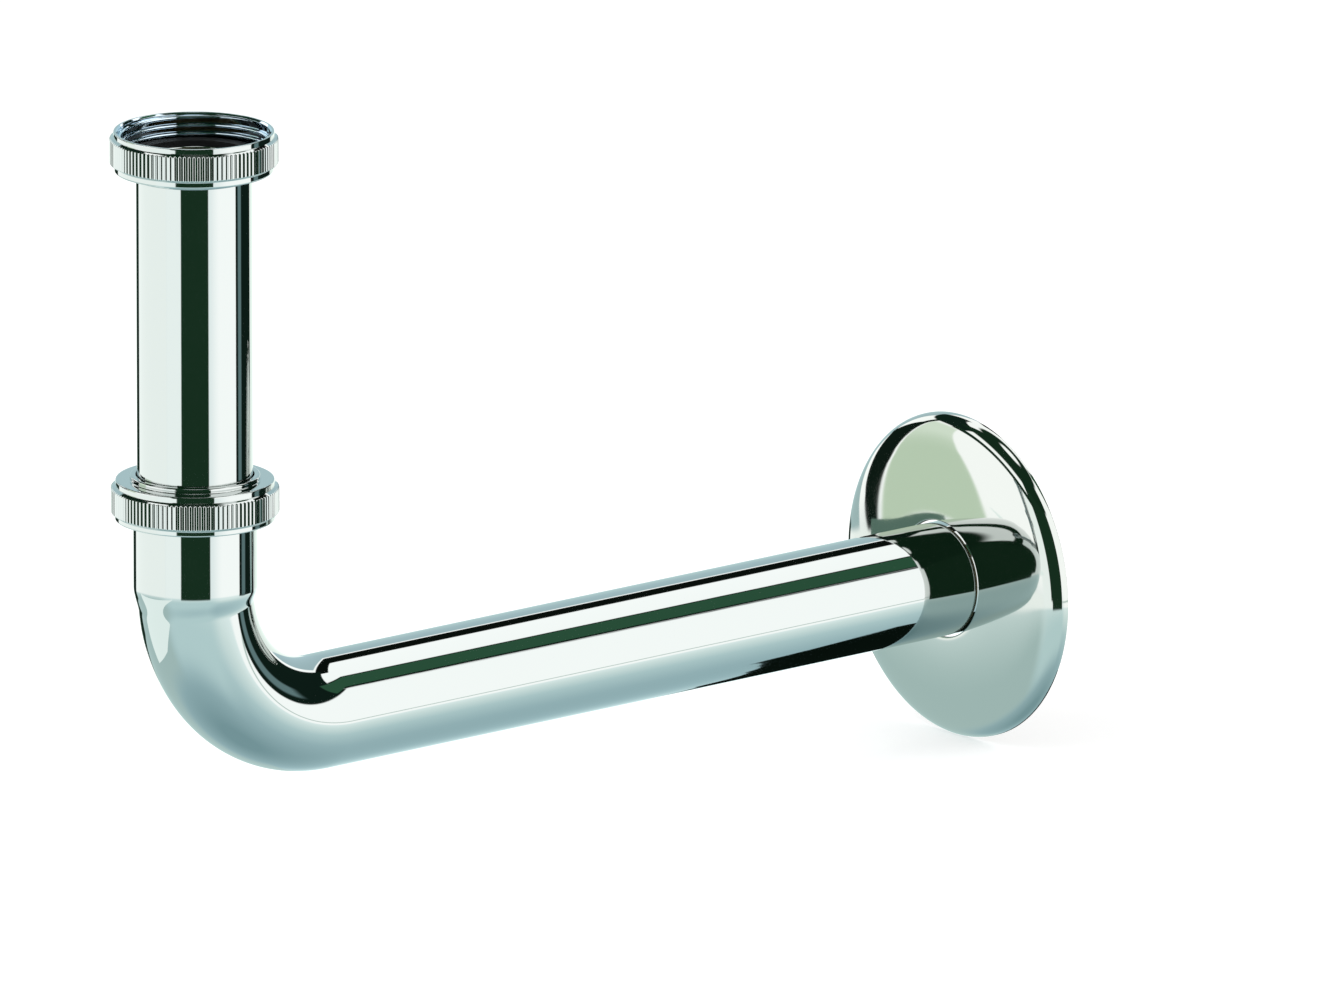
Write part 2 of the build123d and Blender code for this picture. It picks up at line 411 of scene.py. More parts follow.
def seen_on_tube(from_wall, angle, height):
    """Point at a height that the camera sees in a spot on the tube's underside."""
    normal = Vector((0, -sin(radians(angle)), -cos(radians(angle))))
    spot = Vector((-from_wall * MM, 0, 0)) + tube_radius * normal
    ray = view_forward.reflect(normal)
    return spot + ray * (height - spot.z) / ray.z


def mirrored_only(board):
    """Lets only mirrored rays see a board."""
    board.visible_camera = False
    board.visible_diffuse = False
    board.visible_shadow = False


def fan(middle, near, near_sides, far, far_sides):
    """Corners of a board that lies away from a middle, between two distances and two azimuths each."""
    corners = [middle + near * outward(side) for side in near_sides]
    return corners + [middle + far * outward(side) for side in reversed(far_sides)]


def glowing(name, colour, strength):
    """Board that shows one even tone."""
    material, tree = new_material(name)
    glow = add_node(tree, "ShaderNodeEmission", {"Color": linear(colour), "Strength": strength})
    return glow_with(material, glow)


# Near-black glow that paints the black wedge on the tube's underside: a painted dark reflection.
painted_wedge_glow = glowing("black_felt", "#0C1611", 1.0)
paper = glowing("white_card", "#E6F0EE", TENT_STRENGTH)
# Grey-green glow that paints the dark smear in the dish over the tube: a painted reflection.
smear_glow = glowing("slate_block", "#556E64", TENT_STRENGTH)
board_z = floor_z - BOARD_DROP
board_corners = [seen_on_tube(*spot, board_z) for spot in WEDGE_LEFT + WEDGE_RIGHT]
card_corners = fan(crossing, CARD_NEAR, CARD_END, CARD_FAR, CARD_SPREAD)
smear_corners = fan(Vector((0, 0, 0)), SMEAR_NEAR, SMEAR_SPREAD, SMEAR_FAR, SMEAR_SPREAD)
near_things = [
    flat_board("dark_board", board_corners, board_z, painted_wedge_glow),
    flat_board("white_card", card_corners, floor_z, paper),
    flat_board("dark_block", smear_corners, floor_z, smear_glow),
]
for thing in near_things:
    mirrored_only(thing)
print("seen by mirrored rays alone:", [thing.name for thing in near_things])


# %% Hang the lamps and light the sky
def soft_lamp(name, azimuth, elevation, distance, size, power):
    """Square lamp on a globe round the object, turned to its middle. Angles as in the tent."""
    lamp_data = bpy.data.lights.new(name, "AREA")
    lamp_data.size = size
    lamp_data.energy = power
    lamp = bpy.data.objects.new(name, lamp_data)
    away = outward(azimuth, elevation)
    turned = away.to_track_quat("Z", "Y").to_matrix().to_4x4()
    lamp.matrix_world = Matrix.Translation(TENT_CENTRE + distance * away) @ turned
    lamp.visible_glossy = False
    bpy.context.collection.objects.link(lamp)
    return lamp


soft_lamp("left_lamp", azimuth=-65, elevation=48, distance=1.6, size=1.4, power=16)
soft_lamp("right_lamp", azimuth=70, elevation=40, distance=1.6, size=1.2, power=11)

SKY_FILL = 0.45
world = bpy.data.worlds.new("white_sky")
world.use_nodes = True
sky = world.node_tree
sky.nodes.clear()
sky_path = add_node(sky, "ShaderNodeLightPath")
seen = add_node(
    sky,
    "ShaderNodeMath",
    {0: sky_path.outputs["Is Camera Ray"], 1: sky_path.outputs["Is Glossy Ray"]},
    operation="MAXIMUM",
)
seen_through = add_node(
    sky,
    "ShaderNodeMath",
    {0: seen.outputs[0], 1: sky_path.outputs["Is Transmission Ray"]},
    operation="MAXIMUM",
)
sky_strength = add_node(
    sky, "ShaderNodeMapRange", {"Value": seen_through.outputs[0], "To Min": SKY_FILL, "To Max": 1.0}
)
sky_light = add_node(
    sky,
    "ShaderNodeBackground",
    {"Color": linear("#FFFFFF"), "Strength": sky_strength.outputs["Result"]},
)
add_node(sky, "ShaderNodeOutputWorld", {"Surface": sky_light.outputs[0]})
bpy.context.scene.world = world
bpy.context.scene.view_settings.view_transform = "Standard"

# %% [markdown]
# ## Materials
# Chrome plate on polished brass is a mirror that gives back three fifths of the light, so what
# it mirrors twice is darker. The tent is brighter by as much as chrome takes. It is never quite
# even: the tube was drawn and buffed, so its mirror has slow waves a few centimetres long and
# faint hairlines. Roughness and bump come from noise at those real sizes.


# %% Chrome
def chrome(name, tint, roughness, wave_length, wave_depth):
    """Chrome plate: a clear mirror, with the slow waves and cloudy patches that buffing leaves."""
    material, tree = new_material(name)
    place = add_node(tree, "ShaderNodeTexCoord").outputs["Object"]
    waves = add_node(
        tree, "ShaderNodeTexNoise", {"Vector": place, "Scale": 1 / wave_length, "Detail": 1.0}
    )
    clouds = add_node(
        tree, "ShaderNodeTexNoise", {"Vector": place, "Scale": 1 / (9 * MM), "Detail": 3.0, "Roughness": 0.6}
    )
    gloss = add_node(
        tree,
        "ShaderNodeMapRange",
        {
            "Value": clouds.outputs["Fac"],
            "From Min": 0.3,
            "From Max": 0.7,
            "To Min": 0.7 * roughness,
            "To Max": 1.4 * roughness,
        },
    )
    bump = add_node(
        tree, "ShaderNodeBump", {"Height": waves.outputs["Fac"], "Strength": 1.0, "Distance": wave_depth}
    )
    metal = add_node(
        tree,
        "ShaderNodeBsdfPrincipled",
        {
            "Base Color": linear(tint),
            "Metallic": 1.0,
            "Roughness": gloss.outputs["Result"],
            "Normal": bump.outputs[0],
        },
    )
    add_node(tree, "ShaderNodeOutputMaterial", {"Surface": metal.outputs[0]})
    return material


chrome_tube = chrome("chromed_brass_drawn_and_buffed", "#C1C6C4", 0.03, 18 * MM, 0.02 * MM)
chrome_turned = chrome("chromed_brass_turned", "#C1C6C4", 0.04, 10 * MM, 0.008 * MM)
# Inside the nuts the chrome is a lighter, bluer copy: painted light that lifts the hollows, which go dark
# where the chrome mirrors itself.
chrome_painted_lighter = chrome("chromed_brass_inside_the_nuts", "#CFDFE9", 0.06, 6 * MM, 0.01 * MM)
chrome_sheet = chrome("chromed_brass_pressed_sheet", "#C1C5C1", 0.04, 22 * MM, 0.03 * MM)


# %% Bare brass, rubber and plastic
def bare_brass():
    """Drawn brass inside the tubes, dulled by handling: warm, half rough, streaked lengthwise."""
    material, tree = new_material("bare_brass_drawn")
    place = add_node(tree, "ShaderNodeTexCoord").outputs["Object"]
    grain = add_node(tree, "ShaderNodeTexNoise", {"Vector": place, "Scale": 1 / (2 * MM), "Detail": 4.0})
    tone = add_node(tree, "ShaderNodeValToRGB", {0: grain.outputs["Fac"]})
    tone.color_ramp.elements[0].color = linear("#4E4632")
    tone.color_ramp.elements[1].color = linear("#857654")
    gloss = add_node(
        tree, "ShaderNodeMapRange", {"Value": grain.outputs["Fac"], "To Min": 0.32, "To Max": 0.55}
    )
    metal = add_node(
        tree,
        "ShaderNodeBsdfPrincipled",
        {"Base Color": tone.outputs[0], "Metallic": 1.0, "Roughness": gloss.outputs["Result"]},
    )
    add_node(tree, "ShaderNodeOutputMaterial", {"Surface": metal.outputs[0]})
    return material


def moulded(name, dark, light, grit, roughness, specular):
    """Moulded rubber or plastic: fine grit breaks up its shine, and its colour is slightly cloudy."""
    material, tree = new_material(name)
    place = add_node(tree, "ShaderNodeTexCoord").outputs["Object"]
    clouds = add_node(tree, "ShaderNodeTexNoise", {"Vector": place, "Scale": 1 / (6 * grit), "Detail": 2.0})
    tone = add_node(tree, "ShaderNodeValToRGB", {0: clouds.outputs["Fac"]})
    tone.color_ramp.elements[0].color = linear(dark)
    tone.color_ramp.elements[1].color = linear(light)
    grains = add_node(tree, "ShaderNodeTexNoise", {"Vector": place, "Scale": 1 / grit, "Detail": 2.0})
    bump = add_node(tree, "ShaderNodeBump", {"Height": grains.outputs["Fac"], "Distance": 0.1 * grit})
    body = add_node(
        tree,
        "ShaderNodeBsdfPrincipled",
        {
            "Base Color": tone.outputs[0],
            "Roughness": roughness,
            "Specular IOR Level": specular,
            "Normal": bump.outputs[0],
        },
    )
    add_node(tree, "ShaderNodeOutputMaterial", {"Surface": body.outputs[0]})
    return material


brass = bare_brass()
rubber = moulded("black_rubber_moulded", "#0B0C0D", "#161718", 0.25 * MM, 0.62, 0.4)
plastic = moulded("natural_polyethylene_moulded", "#DEDDD3", "#ECEBE3", 0.4 * MM, 0.42, 0.5)
for node, finish in (("flat_washer", rubber), ("tapered_seal", rubber), ("slip_ring", plastic)):
    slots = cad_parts[node].data.materials
    slots.clear()
    slots.append(finish)
print("materials:", len(bpy.data.materials))

# %% [markdown]
# ## The elbow
# One tube was swaged at its end to make a socket, bent through a right angle and left long.
# Its shape follows a rule: a circle carried along a line, an arc and a line, with a radius
# that shrinks over the swage. Geometry Nodes say that directly. A line of three points is
# filleted to give the path, the radius is a function of the length along it, and Curve to
# Mesh carries the circle. Solidify then gives the wall, and a small bevel breaks its edges.

# %% Tree for a swaged, bent tube
BEND_RADIUS = 43.0 * MM
SWAGE_ANGLE = radians(7.0)
TUBE_WALL = 0.9 * MM
TUBE_SIDES = 144
BEND_STEPS = 160


def tree_inputs(tree, sizes):
    """Adds a named input for each size, and returns its identifiers."""
    keys = {}
    for name, value in sizes.items():
        kinds = {int: "NodeSocketInt", float: "NodeSocketFloat", bpy.types.Object: "NodeSocketObject"}
        socket = tree.interface.new_socket(name=name, in_out="INPUT", socket_type=kinds[type(value)])
        keys[name] = socket.identifier
    tree.interface.new_socket(name="Geometry", in_out="OUTPUT", socket_type="NodeSocketGeometry")
    return keys


def bent_tube_tree(sizes, material):
    """Geometry Nodes: a tube along an upright line, a bend and a level line."""
    tree = bpy.data.node_groups.new("bent_tube", "GeometryNodeTree")
    keys = tree_inputs(tree, sizes)
    size = add_node(tree, "NodeGroupInput").outputs
    top = add_node(tree, "ShaderNodeCombineXYZ", {0: size["Upright x"], 2: size["Socket top"]})
    corner = add_node(tree, "ShaderNodeCombineXYZ", {0: size["Upright x"]})
    end = add_node(tree, "ShaderNodeCombineXYZ", {0: size["Tube end"]})
    chord = add_node(tree, "GeometryNodeCurvePrimitiveLine", {"Start": top.outputs[0], "End": end.outputs[0]})
    three = add_node(tree, "GeometryNodeResampleCurve", {"Curve": chord.outputs[0], "Count": 3})
    index = add_node(tree, "GeometryNodeInputIndex")
    middle = add_node(
        tree, "FunctionNodeCompare", {2: index.outputs[0], 3: 1}, data_type="INT", operation="EQUAL"
    )
    cornered = add_node(
        tree,
        "GeometryNodeSetPosition",
        {"Geometry": three.outputs[0], "Selection": middle.outputs[0], "Position": corner.outputs[0]},
    )
    path = add_node(
        tree,
        "GeometryNodeFilletCurve",
        {"Curve": cornered.outputs[0], "Count": size["Bend steps"], "Radius": size["Bend radius"]},
        mode="POLY",
    )
    along = add_node(tree, "GeometryNodeSplineParameter").outputs["Length"]
    swage_start = add_node(
        tree, "ShaderNodeMath", {0: size["Socket top"], 1: size["Bend radius"]}, operation="SUBTRACT"
    )
    swage_end = add_node(tree, "ShaderNodeMath", {0: swage_start.outputs[0], 1: size["Swage length"]})
    radius = add_node(
        tree,
        "ShaderNodeMapRange",
        {
            "Value": along,
            "From Min": swage_start.outputs[0],
            "From Max": swage_end.outputs[0],
            "To Min": size["Socket radius"],
            "To Max": size["Tube radius"],
        },
        interpolation_type="SMOOTHSTEP",
    )
    ring = add_node(tree, "GeometryNodeCurvePrimitiveCircle", {"Resolution": size["Sides"], "Radius": 1.0})
    skin = add_node(
        tree,
        "GeometryNodeCurveToMesh",
        {"Curve": path.outputs[0], "Profile Curve": ring.outputs[0], "Scale": radius.outputs["Result"]},
    )
    whole = add_node(tree, "GeometryNodeRealizeInstances", {0: skin.outputs[0]})
    dressed = add_node(tree, "GeometryNodeSetMaterial", {0: whole.outputs[0], "Material": material})
    add_node(tree, "NodeGroupOutput", {0: dressed.outputs[0]})
    return tree, keys


def grow(name, tree, keys, sizes):
    """Runs a tree with these sizes, and returns an object with the plain mesh that it made."""
    piece = bpy.data.objects.new(name, bpy.data.meshes.new(name))
    bpy.context.collection.objects.link(piece)
    growth = piece.modifiers.new("growth", "NODES")
    growth.node_group = tree
    for size, value in sizes.items():
        growth[keys[size]] = value
    freeze(piece)
    return piece


def freeze(piece):
    """Turns a piece and its modifiers into one plain mesh."""
    bpy.context.view_layer.update()
    shown = piece.evaluated_get(bpy.context.evaluated_depsgraph_get())
    mesh = bpy.data.meshes.new_from_object(shown)
    piece.modifiers.clear()
    piece.data = mesh
    mesh.name = piece.name


SHARP_ANGLE = radians(32)


def smooth_shade(piece):
    """Smooth faces, with an edge kept where the surface really turns."""
    piece.data.shade_smooth()
    piece.data.set_sharp_from_angle(angle=SHARP_ANGLE)


def face_outwards(mesh, weld=None):
    """Turns a mesh's faces outwards, and first welds points that are nearer than a distance."""
    form = bmesh.new()
    form.from_mesh(mesh)
    if weld:
        bmesh.ops.remove_doubles(form, verts=form.verts, dist=weld)
    bmesh.ops.recalc_face_normals(form, faces=form.faces)
    form.to_mesh(mesh)
    form.free()


# %% Grow the elbow
elbow_sizes = {
    "Upright x": upright_x,
    "Socket top": socket_top,
    "Tube end": tube_end,
    "Bend radius": BEND_RADIUS,
    "Swage length": BEND_RADIUS * SWAGE_ANGLE,
    "Socket radius": socket_radius,
    "Tube radius": tube_radius,
    "Sides": TUBE_SIDES,
    "Bend steps": BEND_STEPS,
}
elbow_tree, elbow_keys = bent_tube_tree(elbow_sizes, chrome_tube)
elbow = grow("elbow_tube", elbow_tree, elbow_keys, elbow_sizes)

EDGE_BREAK = 0.25 * MM
face_outwards(elbow.data)
elbow.data.materials.append(brass)
wall = elbow.modifiers.new("wall", "SOLIDIFY")
wall.thickness = TUBE_WALL
wall.offset = -1
wall.material_offset = 1
rims = elbow.modifiers.new("rims", "BEVEL")
rims.width = EDGE_BREAK
rims.segments = 3
rims.limit_method = "ANGLE"
rims.angle_limit = radians(60)
freeze(elbow)

GUARD_INSET = 1.0 * MM
guard_planes = [
    (Vector((0, 0, socket_top - GUARD_INSET)), Vector((0, 0, 1))),
    (Vector((0, 0, BEND_RADIUS + GUARD_INSET)), Vector((0, 0, 1))),
    (Vector((upright_x + BEND_RADIUS + GUARD_INSET, 0, 0)), Vector((1, 0, 0))),
    (Vector((tube_end - GUARD_INSET, 0, 0)), Vector((1, 0, 0))),
]
guards = bmesh.new()
guards.from_mesh(elbow.data)
for point, normal in guard_planes:
    everything = [*guards.verts, *guards.edges, *guards.faces]
    bmesh.ops.bisect_plane(guards, geom=everything, plane_co=point, plane_no=normal)
guards.to_mesh(elbow.data)
guards.free()
smooth_shade(elbow)
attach(elbow, "elbow")
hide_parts("outlet_elbow")
print("elbow:", len(elbow.data.polygons), "faces, x to", round(elbow.bound_box[6][0] / MM, 2), "mm")

# %% [markdown]
# ## Turned pieces
# A lathe makes the nuts, the collar and the end of the inlet tube, and spinning makes the
# flange. For all of them one half-section is drawn as corners, each with its own rounding,
# and carried round an axis. Roundings of a few tenths of a millimetre matter: on chrome, each
# one is a bright line.


# %% Half-sections and lathe
GUARD = 0.12 * MM
WELD = 0.001 * MM


def rounded(corners, steps=4, guard=GUARD):
    """Points of an outline through corners (radius, height, rounding). The ends stay sharp.

    A guard point beside each rounding keeps the smooth shading of the long faces flat.
    """
    points = []
    for number, (radius, height, rounding) in enumerate(corners):
        corner = Vector((radius, height))
        if rounding == 0 or number in (0, len(corners) - 1):
            points.append(corner)
            continue
        back = (Vector(corners[number - 1][:2]) - corner).normalized()
        ahead = (Vector(corners[number + 1][:2]) - corner).normalized()
        half_angle = back.angle(ahead) / 2
        start = corner + back * rounding / tan(half_angle)
        stop = corner + ahead * rounding / tan(half_angle)
        centre = corner + (back + ahead).normalized() * rounding / sin(half_angle)
        first = (start - centre).normalized()
        last = (stop - centre).normalized()
        arc = [centre + first.slerp(last, step / steps) * rounding for step in range(steps + 1)]
        points += [start + back * guard, *arc, stop + ahead * guard] if guard else arc
    return points


def even_angles(count):
    """Angles of a full turn, evenly spread."""
    return [2 * pi * number / count for number in range(count)]


def turned_mesh(name, outline, angles, closed):
    """Mesh of a half-section carried round the Z axis at these angles."""
    count = len(outline)
    points = [
        (point.x * cos(angle), point.x * sin(angle), point.y) for angle in angles for point in outline
    ]
    faces = []
    for turn in range(len(angles)):
        here = turn * count
        there = (turn + 1) % len(angles) * count
        for row in range(count if closed else count - 1):
            above = (row + 1) % count
            faces.append((here + row, there + row, there + above, here + above))
    mesh = bpy.data.meshes.new(name)
    mesh.from_pydata(points, [], faces)
    return mesh


def finished(name, mesh, placing, materials):
    """Object of a mesh moved to its place in the frame, welded, and facing outwards."""
    mesh.transform(placing)
    face_outwards(mesh, WELD)
    for material in materials:
        mesh.materials.append(material)
    piece = bpy.data.objects.new(name, mesh)
    bpy.context.collection.objects.link(piece)
    smooth_shade(piece)
    return piece


on_upright = Matrix.Translation(crossing)
print("a rounded corner has", len(rounded([(1, 0, 0), (1, 1, 0.1), (0, 1, 0)])) - 2, "points")

# %% [markdown]
# ## The inlet tube
# A plain tube with its top rolled out into a flange. The union nut pulls on that flange, and
# the washer lies on it.

# %% Turn the inlet tube
ROLLED_THICKNESS = 1.0 * MM
bore_radius = tube_radius - TUBE_WALL
rolled_radius = inlet_high.y
rolled_bottom = inlet_high.z - ROLLED_THICKNESS
inlet_outline = rounded(
    [
        (bore_radius, (inlet_low.z + inlet_high.z) / 2, 0),
        (bore_radius, inlet_low.z, 0.2 * MM),
        (tube_radius, inlet_low.z, 0.3 * MM),
        (tube_radius, rolled_bottom, 0.4 * MM),
        (rolled_radius, rolled_bottom, 0.3 * MM),
        (rolled_radius, inlet_high.z, 0.3 * MM),
        (bore_radius, inlet_high.z, 0.6 * MM),
        (bore_radius, (inlet_low.z + inlet_high.z) / 2 + MM, 0),
    ]
)
inlet_mesh = turned_mesh("inlet_tube_drawn", inlet_outline, even_angles(TUBE_SIDES), closed=True)
inlet = finished("inlet_tube_drawn", inlet_mesh, on_upright, [chrome_tube, brass])
for face in inlet.data.polygons:
    if Vector((face.center.x - upright_x, face.center.y)).length < bore_radius + 0.1 * MM:
        face.material_index = 1
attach(inlet, "inlet")
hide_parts("inlet_tube")
print("inlet tube:", len(inlet.data.polygons), "faces")

# %% [markdown]
# ## The knurled nuts
# Both nuts are the same turning: a threaded mouth, a straight knurl for the fingers, a plain
# band at each end and a lip round the tube. The knurl is one rib repeated 110 times. The rib is a
# small patch of 45 faces with a flat crest and straight flanks, whose ends stop on the
# bevels. Geometry Nodes set it round the axis, and the patches are welded to the plain part.

# %% Sizes of a nut, from its mouth
RIB_COUNT = 110
RIB_DEPTH = 0.4 * MM
RIB_CREST = 0.235
RIB_ACROSS = (-0.5, -0.27, -0.205, 0.205, 0.27)
MOUTH_BEVEL = Vector((1.1 * MM, 0.6 * MM))
MOUTH_BAND = 1.5 * MM
CLOSED_BEVEL = Vector((1.3 * MM, 0.65 * MM))
CLOSED_BAND = 1.75 * MM
NUT_WEB = 2.0 * MM
LIP_HEIGHT = 1.4 * MM
LIP_WIDTH = 1.7 * MM
NUT_HOLE_GAP = 0.3 * MM
THREAD_START = 0.5 * MM
THREAD_END = 6.0 * MM
THREAD_PITCH = 2.309 * MM
THREAD_DEPTH = 1.0 * MM
NUT_WALL = 2.245 * MM
RELIEF_DEPTH = 0.35 * MM

nut_length = union_high.z - union_low.z
closed_face = nut_length - LIP_HEIGHT
mouth_radius = nut_radius - MOUTH_BEVEL.x
closed_radius = nut_radius - CLOSED_BEVEL.x
thread_radius = nut_radius - NUT_WALL
hole_radius = tube_radius + NUT_HOLE_GAP
print("thread", round(2 * thread_radius / MM, 2), "mm across")

# %% One rib of the knurl
SKIN_START = MOUTH_BAND + 0.15 * MM
SKIN_END = closed_face - CLOSED_BAND - 0.15 * MM
RIB_EDGE = 0.16 * MM
RIB_GUARD = 0.06 * MM


def bevel_height(radius, closed_end):
    """Height at which the bevel at one end of the knurl has this radius."""
    if closed_end:
        return closed_face - CLOSED_BAND - (radius - closed_radius) * CLOSED_BEVEL.y / CLOSED_BEVEL.x
    return MOUTH_BAND + (radius - mouth_radius) * MOUTH_BEVEL.y / MOUTH_BEVEL.x


def bevel_radius(height, closed_end):
    """Radius of the bevel at one end of the knurl at this height."""
    if closed_end:
        return closed_radius + (closed_face - CLOSED_BAND - height) * CLOSED_BEVEL.x / CLOSED_BEVEL.y
    return mouth_radius + (height - MOUTH_BAND) * MOUTH_BEVEL.x / MOUTH_BEVEL.y


def rib_column(across):
    """Outline along a rib at a share of its width: bevel, flank, bevel."""
    fall = max(0, abs(across) - RIB_CREST) / (0.5 - RIB_CREST)
    radius = nut_radius - RIB_DEPTH * fall
    corners = [
        (bevel_radius(SKIN_START, False), SKIN_START, 0),
        (radius, bevel_height(radius, False), RIB_EDGE),
        (radius, bevel_height(radius, True), RIB_EDGE),
        (bevel_radius(SKIN_END, True), SKIN_END, 0),
    ]
    return rounded(corners, steps=1, guard=RIB_GUARD)


rib_pitch = 2 * pi / RIB_COUNT
rib_points = []
rib_faces = []
rib_shares = (*RIB_ACROSS, 0.5)
for share in rib_shares:
    turn = share * rib_pitch
    rib_points += [(point.x * cos(turn), point.x * sin(turn), point.y) for point in rib_column(share)]
rib_rows = len(rib_column(0))
for column in range(len(RIB_ACROSS)):
    for row in range(rib_rows - 1):
        here = column * rib_rows + row
        rib_faces.append((here, here + rib_rows, here + rib_rows + 1, here + 1))
rib_mesh = bpy.data.meshes.new("knurl_rib")
rib_mesh.from_pydata(rib_points, [], rib_faces)
rib = bpy.data.objects.new("knurl_rib", rib_mesh)
bpy.context.collection.objects.link(rib)
print("a rib has", len(rib_faces), "faces")


# %% Tree that sets the ribs round the axis
def knurl_tree(sizes, material):
    """Geometry Nodes: copies of one rib round the Z axis, welded to each other."""
    tree = bpy.data.node_groups.new("straight_knurl", "GeometryNodeTree")
    keys = tree_inputs(tree, sizes)
    size = add_node(tree, "NodeGroupInput").outputs
    shape = add_node(tree, "GeometryNodeObjectInfo", {"Object": size["Rib"]})
    points = add_node(tree, "GeometryNodeMeshLine", {"Count": size["Ribs"], "Offset": (0, 0, 0)})
    index = add_node(tree, "GeometryNodeInputIndex")
    turn = add_node(tree, "ShaderNodeMath", {0: index.outputs[0], 1: size["Rib pitch"]}, operation="MULTIPLY")
    spin = add_node(tree, "ShaderNodeCombineXYZ", {2: turn.outputs[0]})
    ribs = add_node(
        tree,
        "GeometryNodeInstanceOnPoints",
        {"Points": points.outputs[0], "Instance": shape.outputs["Geometry"], "Rotation": spin.outputs[0]},
    )
    whole = add_node(tree, "GeometryNodeRealizeInstances", {0: ribs.outputs[0]})
    welded = add_node(tree, "GeometryNodeMergeByDistance", {0: whole.outputs[0], "Distance": WELD})
    dressed = add_node(tree, "GeometryNodeSetMaterial", {0: welded.outputs[0], "Material": material})
    add_node(tree, "NodeGroupOutput", {0: dressed.outputs[0]})
    return tree, keys


# %% Set the ribs and weld the nut
knurl_sizes = {"Rib": rib, "Ribs": RIB_COUNT, "Rib pitch": rib_pitch}
ribs_tree, ribs_keys = knurl_tree(knurl_sizes, chrome_turned)
knurl = grow("knurl", ribs_tree, ribs_keys, knurl_sizes)
nut_depth = closed_face - NUT_WEB
relief_radius = thread_radius + RELIEF_DEPTH
lip_radius = hole_radius + LIP_WIDTH
nut_outline = rounded(
    [
        (bevel_radius(SKIN_START, False), SKIN_START, 0),
        (mouth_radius, MOUTH_BAND, 0.1 * MM),
        (mouth_radius, 0, 0.25 * MM),
        (thread_radius + THREAD_START, 0, 0.15 * MM),
        (thread_radius, THREAD_START, 0.1 * MM),
        (thread_radius, THREAD_END, 0),
        (relief_radius, THREAD_END, 0),
        (relief_radius, nut_depth, 0.2 * MM),
        (hole_radius, nut_depth, 0.2 * MM),
        (hole_radius, nut_length, 0.3 * MM),
        (lip_radius, nut_length, 0.6 * MM),
        (lip_radius, closed_face, 0.25 * MM),
        (closed_radius, closed_face, 0.35 * MM),
        (closed_radius, closed_face - CLOSED_BAND, 0.1 * MM),
        (bevel_radius(SKIN_END, True), SKIN_END, 0),
    ]
)
nut_angles = [(number + share) * rib_pitch for number in range(RIB_COUNT) for share in RIB_ACROSS]
nut_body = turned_mesh("nut_body", nut_outline, nut_angles, closed=False)
whole_nut = bmesh.new()
whole_nut.from_mesh(knurl.data)
whole_nut.from_mesh(nut_body)
nut_mesh = bpy.data.meshes.new("knurled_nut")
whole_nut.to_mesh(nut_mesh)
whole_nut.free()
for helper in (rib, knurl):
    bpy.data.objects.remove(helper)
print("a nut has", len(nut_mesh.polygons), "faces")

# %% Place both nuts
mouth_up = Matrix.Translation((upright_x, 0, union_high.z)) @ Matrix.Rotation(pi, 4, "X")
mouth_down = Matrix.Translation((upright_x, 0, compression_low.z))
for body, placing in (("union_nut", mouth_up), ("compression_nut", mouth_down)):
    nut = finished(body + "_turned", nut_mesh.copy(), placing, [chrome_turned, chrome_painted_lighter])
    # Faces that look towards the axis inside the nut take the lighter chrome: painted light in its hollow.
    for face in nut.data.polygons:
        middle = Vector((face.center.x - upright_x, face.center.y))
        towards_axis = middle.dot(face.normal.xy) < 0
        inside = hole_radius + 0.5 * MM < middle.length < relief_radius + 0.1 * MM
        face.material_index = 1 if towards_axis and inside else 0
    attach(nut, body)
    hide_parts(body)
    open_edges = sum(1 for edge in nut.data.edges if edge.is_loose)
    print(nut.name, len(nut.data.polygons), "faces", open_edges, "loose edges")

# %% [markdown]
# ## Threads
# A pipe thread is a ridge of one section carried along a helix, so it is a spiral curve with
# a blunt triangle as its profile. One tree makes both threads: the union nut's points inwards
# and the collar's points outwards. The ridge fades at both ends, as a cut thread runs out.


